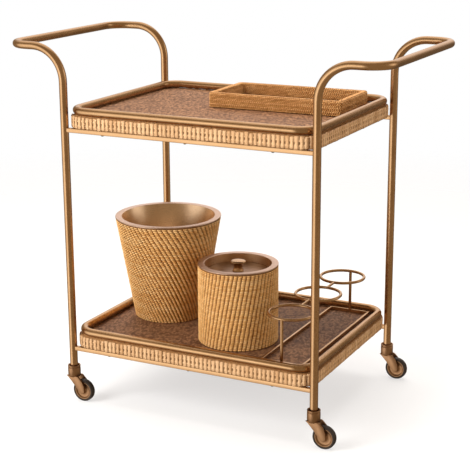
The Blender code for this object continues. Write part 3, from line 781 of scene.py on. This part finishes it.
def makeFork(corner, post, trail, wheelRadius):
    # two arms that taper to the axle, under a collar with a groove and an open cup
    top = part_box("caster_fork_" + corner)[1].z
    end = casterSizes["armEnd"]
    sweep = [math.radians(215.0 + 155.0 * i / 16.0) for i in range(17)]
    outline = [Vector((x, z)) for x, z in casterSizes["armOutline"]]
    outline += [Vector((trail + end * math.cos(a), wheelRadius + end * math.sin(a))) for a in sweep]
    outline += [Vector((x, z)) for x, z in casterSizes["armFront"]]
    centre = sum(outline, Vector((0.0, 0.0))) / len(outline)
    wide, slot, edge = casterSizes["halfWidth"], casterSizes["slotHalf"], casterSizes["armEdge"]
    steps = ((slot, 0.0), (wide - edge, 0.0), (wide - edge * 0.3, edge * 0.5), (wide, edge * 1.3))
    meshes = []
    for sign in (-1.0, 1.0):
        rows = []
        for y, inset in steps:
            inner = [p + (centre - p).normalized() * inset for p in outline]
            rows.append([post + Vector((q.x, sign * y, q.y)) for q in inner])
        meshes.append(buildMesh("arm", rows))
    crown = [
        (0.0002, 0.0585), (0.0100, 0.0585), (0.0138, 0.0592), (0.0150, 0.0606), (0.0150, 0.0800),
        (0.0147, 0.0812), (0.0141, 0.0818), (0.0141, 0.0826), (0.0147, 0.0832), (0.0150, 0.0844),
        (0.0150, top - 0.0010), (0.0146, top - 0.0003), (0.0138, top), (0.0128, top), (0.0120, top - 0.0006),
        (0.0118, top - 0.0016), (0.0118, 0.0808), (0.0055, 0.0806), (0.0048, 0.0800), (0.0048, 0.0640),
        (0.0002, 0.0640),
    ]
    meshes.append(turnMesh("crown", crown, post, 48))
    mesh = joinMeshes("casterFork", meshes)
    body, node = "caster_" + corner, "caster_fork_" + corner
    addPiece("casterFork." + corner, mesh, castBrass, body, [node])


def makeWheel(corner, axle, radius):
    # a dished hub with a raised lip, and a thin round-shouldered tyre
    hub = [
        (0.0028, 0.0076), (0.0050, 0.0078), (0.0058, 0.0074), (0.0064, 0.0060), (0.0074, 0.0044),
        (0.0090, 0.0037), (0.0150, 0.0036), (0.0172, 0.0040), (0.0183, 0.0052), (0.0190, 0.0061),
        (0.0197, 0.0064), (0.0210, 0.0062),
    ]
    tread = [(0.0212, 0.0062), (0.0222, 0.0067), (0.0238, 0.0069), (0.0252, 0.0066), (0.0261, 0.0058),
             (radius - 0.0002, 0.0044), (radius, 0.0030)]
    body = "wheel_" + corner
    for name, half, steps, material, node, slot in (
        ("wheelHub.", hub, 56, castBrass, "wheel_hub_", "antique_brass"),
        ("wheelTyre.", tread, 72, rubber, "wheel_tyre_", "tyre_rubber"),
    ):
        profile = half + [(r, -y) for r, y in reversed(half)]
        mesh = turnMesh(name, profile, axle, steps, closed=True, axis="y")
        addPiece(name + corner, mesh, material, body, [node + corner])


def makeCaster(corner):
    stem = footOf("caster_stem_" + corner)
    post = Vector((stem.x, stem.y, 0.0))
    tyreLow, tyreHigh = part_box("wheel_tyre_" + corner)
    axle = (tyreLow + tyreHigh) / 2.0
    radius = (tyreHigh.z - tyreLow.z) / 2.0
    makeFork(corner, post, axle.x - post.x, radius)
    pin = [(0.0003, -0.0118), (0.0014, -0.0122), (0.0021, -0.0120), (0.0025, -0.0114), (0.0025, 0.0114),
           (0.0021, 0.0120), (0.0014, 0.0122), (0.0003, 0.0118)]
    mesh = turnMesh("axlePin", pin, axle, 24, axis="y")
    addPiece("casterAxle." + corner, mesh, steel, "caster_" + corner, ["caster_axle_" + corner])
    plug = [(0.0002, 0.0665), (0.0043, 0.0665), (0.0043, 0.0836), (0.0072, 0.0838), (0.0072, 0.1165),
            (0.0064, 0.1178), (0.0002, 0.1178)]
    mesh = turnMesh("stem", plug, post, 24)
    addPiece("casterStem." + corner, mesh, steel, "cart", ["caster_stem_" + corner])
    makeWheel(corner, axle, radius)


for corner in corners:
    makeCaster(corner)
print("casters ready")


rackSizes = {"barWidth": 0.005, "barEdge": 0.0004, "barBend": 0.0009, "postSet": 0.0006,
             "linkRadius": 0.003, "linkReach": 0.002}


def makeRack():
    low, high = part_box("rack_base")
    ringLow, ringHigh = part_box("rack_ring_front")
    rod = (ringHigh.z - ringLow.z) / 2.0
    ringZ = (ringLow.z + ringHigh.z) / 2.0
    width, edge = rackSizes["barWidth"], rackSizes["barEdge"]
    halfX, halfY = (high.x - low.x) / 2.0, (high.y - low.y) / 2.0
    tall = high.z - low.z
    bar = [(edge, 0.0), (0.0, edge), (0.0, tall - edge), (edge, tall), (width - edge, tall),
           (width, tall - edge), (width, edge), (width - edge, 0.0)]
    mesh = frameMesh("rackBase", halfX, halfY, rackSizes["barBend"], bar, footOf("rack_base"), steps=3)
    addPiece("rackBase", mesh, brass, "cart", ["rack_base"])
    for side in ("front", "back"):
        node = "rack_post_" + side
        foot = footOf(node)
        path = [Vector((foot.x, foot.y, z)) for z in (foot.z - rackSizes["postSet"], ringZ)]
        addPiece("rackPost." + side, sweepTube("post", path, rod, 20), brass, "cart", [node])
    for name in ("front", "middle", "back"):
        node = "rack_ring_" + name
        ringLow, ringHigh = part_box(node)
        at = (ringLow + ringHigh) / 2.0
        radius = (ringHigh.x - ringLow.x) / 2.0 - rod
        meshes = [sweepTube("ring", circlePath(at, radius, 72), rod, 16, True)]
        reach = (ringHigh.y - ringLow.y) / 2.0 + rackSizes["linkReach"]
        for sign in (-1.0, 1.0) if name == "middle" else ():
            path = [at + Vector((0.0, sign * y, 0.0)) for y in (radius, reach)]
            meshes.append(sweepTube("link", path, rackSizes["linkRadius"], 16))
        addPiece("rackRing." + name, joinMeshes("rackRing", meshes), brass, "cart", [node])


makeRack()
print("rack ready")


coolerWeave = {"Floats": 64, "Rows": 56, "Row shift": -0.21, "Row wander": 0.02, "Overlap": 1.02,
               "Depth": 0.0028, "Seed": 11}
bucketWeave = {"Floats": 58, "Rows": 44, "Row shift": 0.075, "Row wander": 0.03, "Overlap": 1.02,
               "Depth": 0.0024, "Seed": 23}
vesselSizes = {"rimWidth": 0.0155, "rimHeight": 0.0028, "rimLap": 0.0012, "rimShadow": 0.0022,
               "weave": 0.0024, "coolerFoot": 0.0843, "lidGap": 0.0003, "lidLedge": 0.004}


def makeWovenBody(name, body, at, foot, slope, mouth, floorR, floorZ, height, values):
    # the cane body: a core coloured as painted shade, with its weave, which stops short of the rim so the
    # dark core paints the rim's shadow line
    band = height - vesselSizes["rimHeight"]
    top = band - vesselSizes["rimShadow"]
    inset = vesselSizes["weave"]
    low = foot - inset
    high = low + slope * top
    shell = [(0.0005, 0.004), (low - 0.006, 0.0035), (low - 0.003, 0.0), (low, 0.0006), (high, top),
             (high - 0.001, band - 0.0003), (mouth + 0.004, band - 0.0003), (floorR + 0.004, floorZ + 0.002),
             (0.0005, floorZ - 0.001)]
    mesh = turnMesh(name + "Core", shell, at, 96)
    addPiece(name + "Core", mesh, caneShadeCore, body, [body + "_shell"])
    section = [(0.0, 0.0, 0.0002), (slope * top, 0.0, top - 0.0002)]
    weaveWall(name + "Weave", circlePath(at, foot - inset * 0.9), section, values, cane, body, caneFloat)


def makeLiner(name, body, at, liner, floorZ, rim, mouth, height):
    # the metal liner, and the flat collar that caps the mouth with its outer edge turned down over the cane
    profile = [(0.0005, floorZ), *softEdge(liner, 0.0009, 4), (0.0005, floorZ + 0.0022)]
    mesh = turnMesh(name + "Liner", profile, at, 128)
    addPiece(name + "Liner", mesh, linerBrass, body, [body + "_liner"])
    inner, low = mouth + 0.0015, height - vesselSizes["rimHeight"]
    lip = inner - vesselSizes["rimLap"]
    section = [(lip, low), (rim, low), (rim, height), (inner, height), (lip, height - 0.0006), (lip, low)]
    mesh = turnMesh(name + "Rim", softEdge(section, 0.0009)[:-1], at, 128, closed=True)
    addPiece(name + "Rim", mesh, rimBrass, body, [])


def makeCooler():
    at = footOf("wine_cooler_shell")
    linerLow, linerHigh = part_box("wine_cooler_liner")
    rim = (linerHigh.x - linerLow.x) / 2.0
    height, floorZ = linerHigh.z - at.z, linerLow.z - at.z
    foot = vesselSizes["coolerFoot"]
    slope = (rim - foot) / height
    mouth = rim - vesselSizes["rimWidth"]
    floorR = mouth - slope * (height - floorZ)
    makeWovenBody("cooler", "wine_cooler", at, foot, slope, mouth, floorR, floorZ, height, coolerWeave)
    band, under, wall = height - vesselSizes["rimHeight"], height - 0.0004, mouth + 0.0012
    liner = [(floorR - 0.012, floorZ), (floorR - 0.002, floorZ + 0.001), (wall, band), (wall, under),
             (mouth, under), (floorR + 0.001, floorZ + 0.012), (floorR - 0.008, floorZ + 0.0022)]
    makeLiner("cooler", "wine_cooler", at, liner, floorZ, rim, mouth, height)


def makeBucket():
    at = footOf("ice_bucket_shell")
    linerLow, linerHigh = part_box("ice_bucket_liner")
    rim = (linerHigh.x - linerLow.x) / 2.0
    height, floorZ = linerHigh.z - at.z, linerLow.z - at.z
    mouth = rim - vesselSizes["rimWidth"]
    ledge = footOf("ice_bucket_lid").z - at.z - vesselSizes["lidGap"]
    well = mouth - vesselSizes["lidLedge"]
    makeWovenBody("bucket", "ice_bucket", at, rim, 0.0, mouth, mouth, floorZ, height, bucketWeave)
    under, wall = height - 0.0004, mouth + 0.0012
    liner = [(well - 0.010, floorZ), (well + 0.0012, floorZ + 0.001), (well + 0.0012, ledge - 0.0012),
             (wall, ledge - 0.0012), (wall, under), (mouth, under), (mouth, ledge), (well, ledge),
             (well, floorZ + 0.009), (well - 0.008, floorZ + 0.0022)]
    makeLiner("bucket", "ice_bucket", at, liner, floorZ, rim, mouth, height)
    makeLid(at, mouth - 0.0004)


def makeLid(at, radius):
    # a flat lid with a fine groove, a waisted knob and the screw that holds it from below
    lidLow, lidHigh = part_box("ice_bucket_lid")
    thick = lidHigh.z - lidLow.z
    lidAt = Vector((at.x, at.y, lidLow.z))
    knobAt = Vector((at.x, at.y, footOf("lid_knob").z))
    lid = [(0.0023, 0.0), (radius - 0.0004, 0.0), (radius, 0.0004), (radius, thick - 0.0008),
           (radius - 0.0008, thick), (radius - 0.0030, thick), (radius - 0.0036, thick - 0.0003),
           (radius - 0.0042, thick), (0.0023, thick)]
    mesh = turnMesh("bucketLid", lid, lidAt, 96, closed=True)
    addPiece("bucketLid", mesh, lidBrass, "bucket_lid", ["ice_bucket_lid"])
    knob = [
        (0.0003, 0.010), (0.0021, 0.010), (0.0021, 0.0), (0.0128, 0.0), (0.0130, 0.0006), (0.0128, 0.0015),
        (0.0118, 0.0026), (0.0108, 0.0050), (0.0100, 0.0080), (0.0098, 0.0105), (0.0103, 0.0135),
        (0.0115, 0.0162), (0.0136, 0.0183), (0.0163, 0.0197), (0.0176, 0.0206), (0.0180, 0.0217),
        (0.0178, 0.0228), (0.0170, 0.0237),
        (0.0150, 0.0245), (0.0110, 0.0251), (0.0054, 0.0255), (0.0004, 0.0256),
    ]
    mesh = turnMesh("lidKnob", knob, knobAt, 56)
    addPiece("lidKnob", mesh, brass, "bucket_lid", ["lid_knob"])
    screw = [(0.0003, -0.0026), (0.0030, -0.0027), (0.0040, -0.0022), (0.0045, -0.0012), (0.0045, -0.0003),
             (0.0018, -0.0003), (0.0018, 0.0137), (0.0003, 0.0137)]
    mesh = turnMesh("knobScrew", screw, lidAt, 24)
    addPiece("knobScrew", mesh, steel, "bucket_lid", ["lid_knob_screw"])


makeCooler()
makeBucket()
print("vessels ready")


trayWeave = {"Floats": 196, "Rows": 21, "Row shift": 0.5, "Row wander": 0.35, "Overlap": 1.05,
             "Depth": 0.0017, "Seed": 37}
traySizes = {"turn": math.radians(1.0), "half": (0.166, 0.0885), "wall": 0.014, "corner": 0.012,
             "ledge": (0.006, 0.0029), "skin": 0.0010, "matRelief": 0.0006, "matBend": 0.002,
             "matLap": 0.0008, "matBoard": 0.0045}


def makeTray():
    middle = footOf("serving_tray_frame")
    low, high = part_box("serving_tray_frame")
    tall = high.z - low.z
    halfX, halfY = traySizes["half"]
    wall, corner, turn, skin = (traySizes[key] for key in ("wall", "corner", "turn", "skin"))
    inner, ledgeZ = wall + traySizes["ledge"][0], traySizes["ledge"][1]
    core = [(skin + 0.0015, 0.0016), (skin, 0.003), (skin, tall - 0.003), (skin + 0.002, tall - skin),
            (wall - skin - 0.002, tall - skin), (wall - skin, tall - 0.003), (wall - skin, ledgeZ),
            (inner, ledgeZ), (inner, 0.0)]
    mesh = frameMesh("trayCore", halfX, halfY, corner, core, middle, turn, 6)
    # the core's dark colour is painted shade behind the floats
    addPiece("trayCore", mesh, caneShadeCore, "serving_tray", ["serving_tray_frame"])
    face = skin * 0.9
    loop = roundedLoop(halfX - face, halfY - face, corner - face, 8, 20)
    path = [middle + turned(p, turn) for p in loop]
    reach = wall / 2.0 - face
    outline = [(1.0, 0.0006), (1.0, tall - 0.0040), (0.86, tall - 0.0016), (0.5, tall - 0.0010),
               (-0.5, tall - 0.0010), (-0.86, tall - 0.0016), (-1.0, tall - 0.0040), (-1.0, 0.0085)]
    section = [(reach * (out - 1.0), 0.0, height) for out, height in outline]
    weaveWall("trayWeave", path, section, trayWeave, trayCane, "serving_tray", caneFloat)
    relief, lap = traySizes["matRelief"], wall - traySizes["matLap"]
    makeMat("trayMat", "serving_tray_panel", halfX - lap, halfY - lap, traySizes["matBend"], matPitch["tray"],
            relief, trayMat, "serving_tray", traySizes["matBoard"], turn, -relief)


trayLow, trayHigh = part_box("serving_tray_panel")
trayCentre = tuple((trayLow + trayHigh) / 2.0)
trayMat = matFinish("trayMat", matPitch["tray"], *tones["mat"], traySizes["turn"], trayCentre)
makeTray()
for shape in (caneFloat, caneWrap):
    bpy.data.objects.remove(shape, do_unlink=True)
print("tray ready")


floorRings = {"radii": (0.01, 1.0, 3.2), "height": -0.0002, "steps": 64}


def addFloor():
    material, tree, shader = newMaterial("paleFloor", 0.9)
    setInputs(tree, shader, {"Base Color": (0.45, 0.45, 0.45, 1.0), "Specular IOR Level": 0.0,
                             "Emission Color": (1.0, 1.0, 1.0, 1.0), "Emission Strength": 0.59})
    away = addNode(tree, "ShaderNodeVectorMath", {0: objectPlace(tree)}, operation="LENGTH").outputs["Value"]
    clear = tree.nodes.new("ShaderNodeBsdfTransparent").outputs[0]
    inputs = {0: span(tree, away, 1.2, 3.0), 1: shader.outputs[0], 2: clear}
    setInputs(tree, tree.nodes["Material Output"], {
        "Surface": addNode(tree, "ShaderNodeMixShader", inputs).outputs[0],
    })
    steps, height = floorRings["steps"], floorRings["height"]
    bm = bmesh.new()
    rings = [[bm.verts.new(p) for p in circlePath(up * height, r, steps)] for r in floorRings["radii"]]
    bm.faces.new(rings[0])
    for inner, outer in zip(rings, rings[1:]):
        for i in range(steps):
            j = (i + 1) % steps
            bm.faces.new((inner[i], outer[i], outer[j], inner[j]))
    bmesh.ops.recalc_face_normals(bm, faces=bm.faces)
    mesh = bpy.data.meshes.new("floor")
    bm.to_mesh(mesh)
    bm.free()
    floor = addObject("floor", mesh)
    mesh.materials.append(material)
    floor.visible_diffuse = False        # it takes shadows, and the studio lights the cart
    floor.visible_glossy = False


def addArea(name, place, target, width, height, power):
    # lights matt surfaces; what the metal mirrors comes from the studio's soft areas
    light = bpy.data.lights.new(name, "AREA")
    light.shape = "RECTANGLE"
    light.size, light.size_y = width, height
    light.energy = power
    lamp = addObject(name, light)
    lamp.visible_glossy = False
    lamp.location = place
    lamp.rotation_euler = (Vector(target) - Vector(place)).to_track_quat("-Z", "Y").to_euler()


def addStudio(room, glows):
    # white where the camera looks past the floor; the cart sees a dim warm room with soft bright areas
    world = bpy.data.worlds.new("studio")
    bpy.context.scene.world = world
    world.use_nodes = True
    tree = world.node_tree
    ray = tree.nodes.new("ShaderNodeLightPath").outputs["Is Camera Ray"]
    heading = addNode(tree, "ShaderNodeTexCoord").outputs["Generated"]
    total = room
    for direction, inner, outer, colour in glows:
        aim = {0: heading, 1: Vector(direction).normalized()}
        facing = addNode(tree, "ShaderNodeVectorMath", aim, operation="DOT_PRODUCT").outputs["Value"]
        edges = {"Value": facing, "From Min": math.cos(math.radians(outer)),
                 "From Max": math.cos(math.radians(inner))}
        reach = addNode(tree, "ShaderNodeMapRange", edges, interpolation_type="SMOOTHSTEP").outputs["Result"]
        total = vectorCalc(tree, "ADD", total, vectorCalc(tree, "SCALE", colour, scale=reach))
    white = addNode(tree, "ShaderNodeBackground", {"Color": (1.0, 1.0, 1.0, 1.0), "Strength": 1.0})
    around = addNode(tree, "ShaderNodeBackground", {"Color": total, "Strength": 1.0})
    mix = addNode(tree, "ShaderNodeMixShader", {0: ray, 1: around.outputs[0], 2: white.outputs[0]})
    setInputs(tree, tree.nodes["World Output"], {"Surface": mix.outputs[0]})


def addCamera(place, azimuth, elevation, roll, lens):
    camera = bpy.data.cameras.new("camera")
    camera.lens = lens
    camera.sensor_width = 36.0
    eye = addObject("camera", camera)
    a, e, r = math.radians(azimuth), math.radians(elevation), math.radians(roll)
    ahead = Vector((-math.sin(a) * math.cos(e), math.cos(a) * math.cos(e), -math.sin(e)))
    level = Vector((math.cos(a), math.sin(a), 0.0))
    above = level.cross(ahead)
    right = level * math.cos(r) + above * math.sin(r)
    top = above * math.cos(r) - level * math.sin(r)
    eye.location = place
    eye.rotation_mode = "QUATERNION"
    eye.rotation_quaternion = Matrix((right, top, -ahead)).transposed().to_quaternion()
    bpy.context.scene.camera = eye


addFloor()
addArea("keyLight", (-1.7, -2.2, 1.7), (0.0, 0.0, 0.4), 1.4, 1.8, 86.0)
addArea("fillLight", (2.4, -1.1, 1.0), (0.0, 0.0, 0.4), 1.6, 1.6, 16.0)
addArea("topLight", (0.0, 0.2, 2.6), (0.0, 0.0, 0.3), 2.2, 1.6, 40.0)
addStudio((0.33, 0.245, 0.155), [
    ((-0.66, -0.72, -0.20), 12.0, 44.0, (1.05, 1.03, 1.00)),      # soft front-left wall
    ((-0.38, -0.90, -0.16), 5.0, 17.0, (0.85, 0.84, 0.80)),       # its brightest strip, low in front
    ((-0.35, 0.30, 0.90), 14.0, 44.0, (0.80, 0.78, 0.78)),        # overhead bank
    ((-0.25, 0.92, 0.42), 10.0, 36.0, (0.85, 0.82, 0.84)),        # pale wall high behind
    ((0.90, 0.40, 0.16), 6.0, 24.0, (0.95, 0.90, 0.84)),          # strip at the right
    ((0.20, 0.93, -0.35), 14.0, 40.0, (-0.16, -0.12, -0.07)),     # darker low behind
])
addCamera((1.3286, -2.6359, 1.1968), 26.668, 15.354, -0.2745, 98.9)
bpy.context.scene.view_settings.view_transform = "Standard"
print("stage ready")
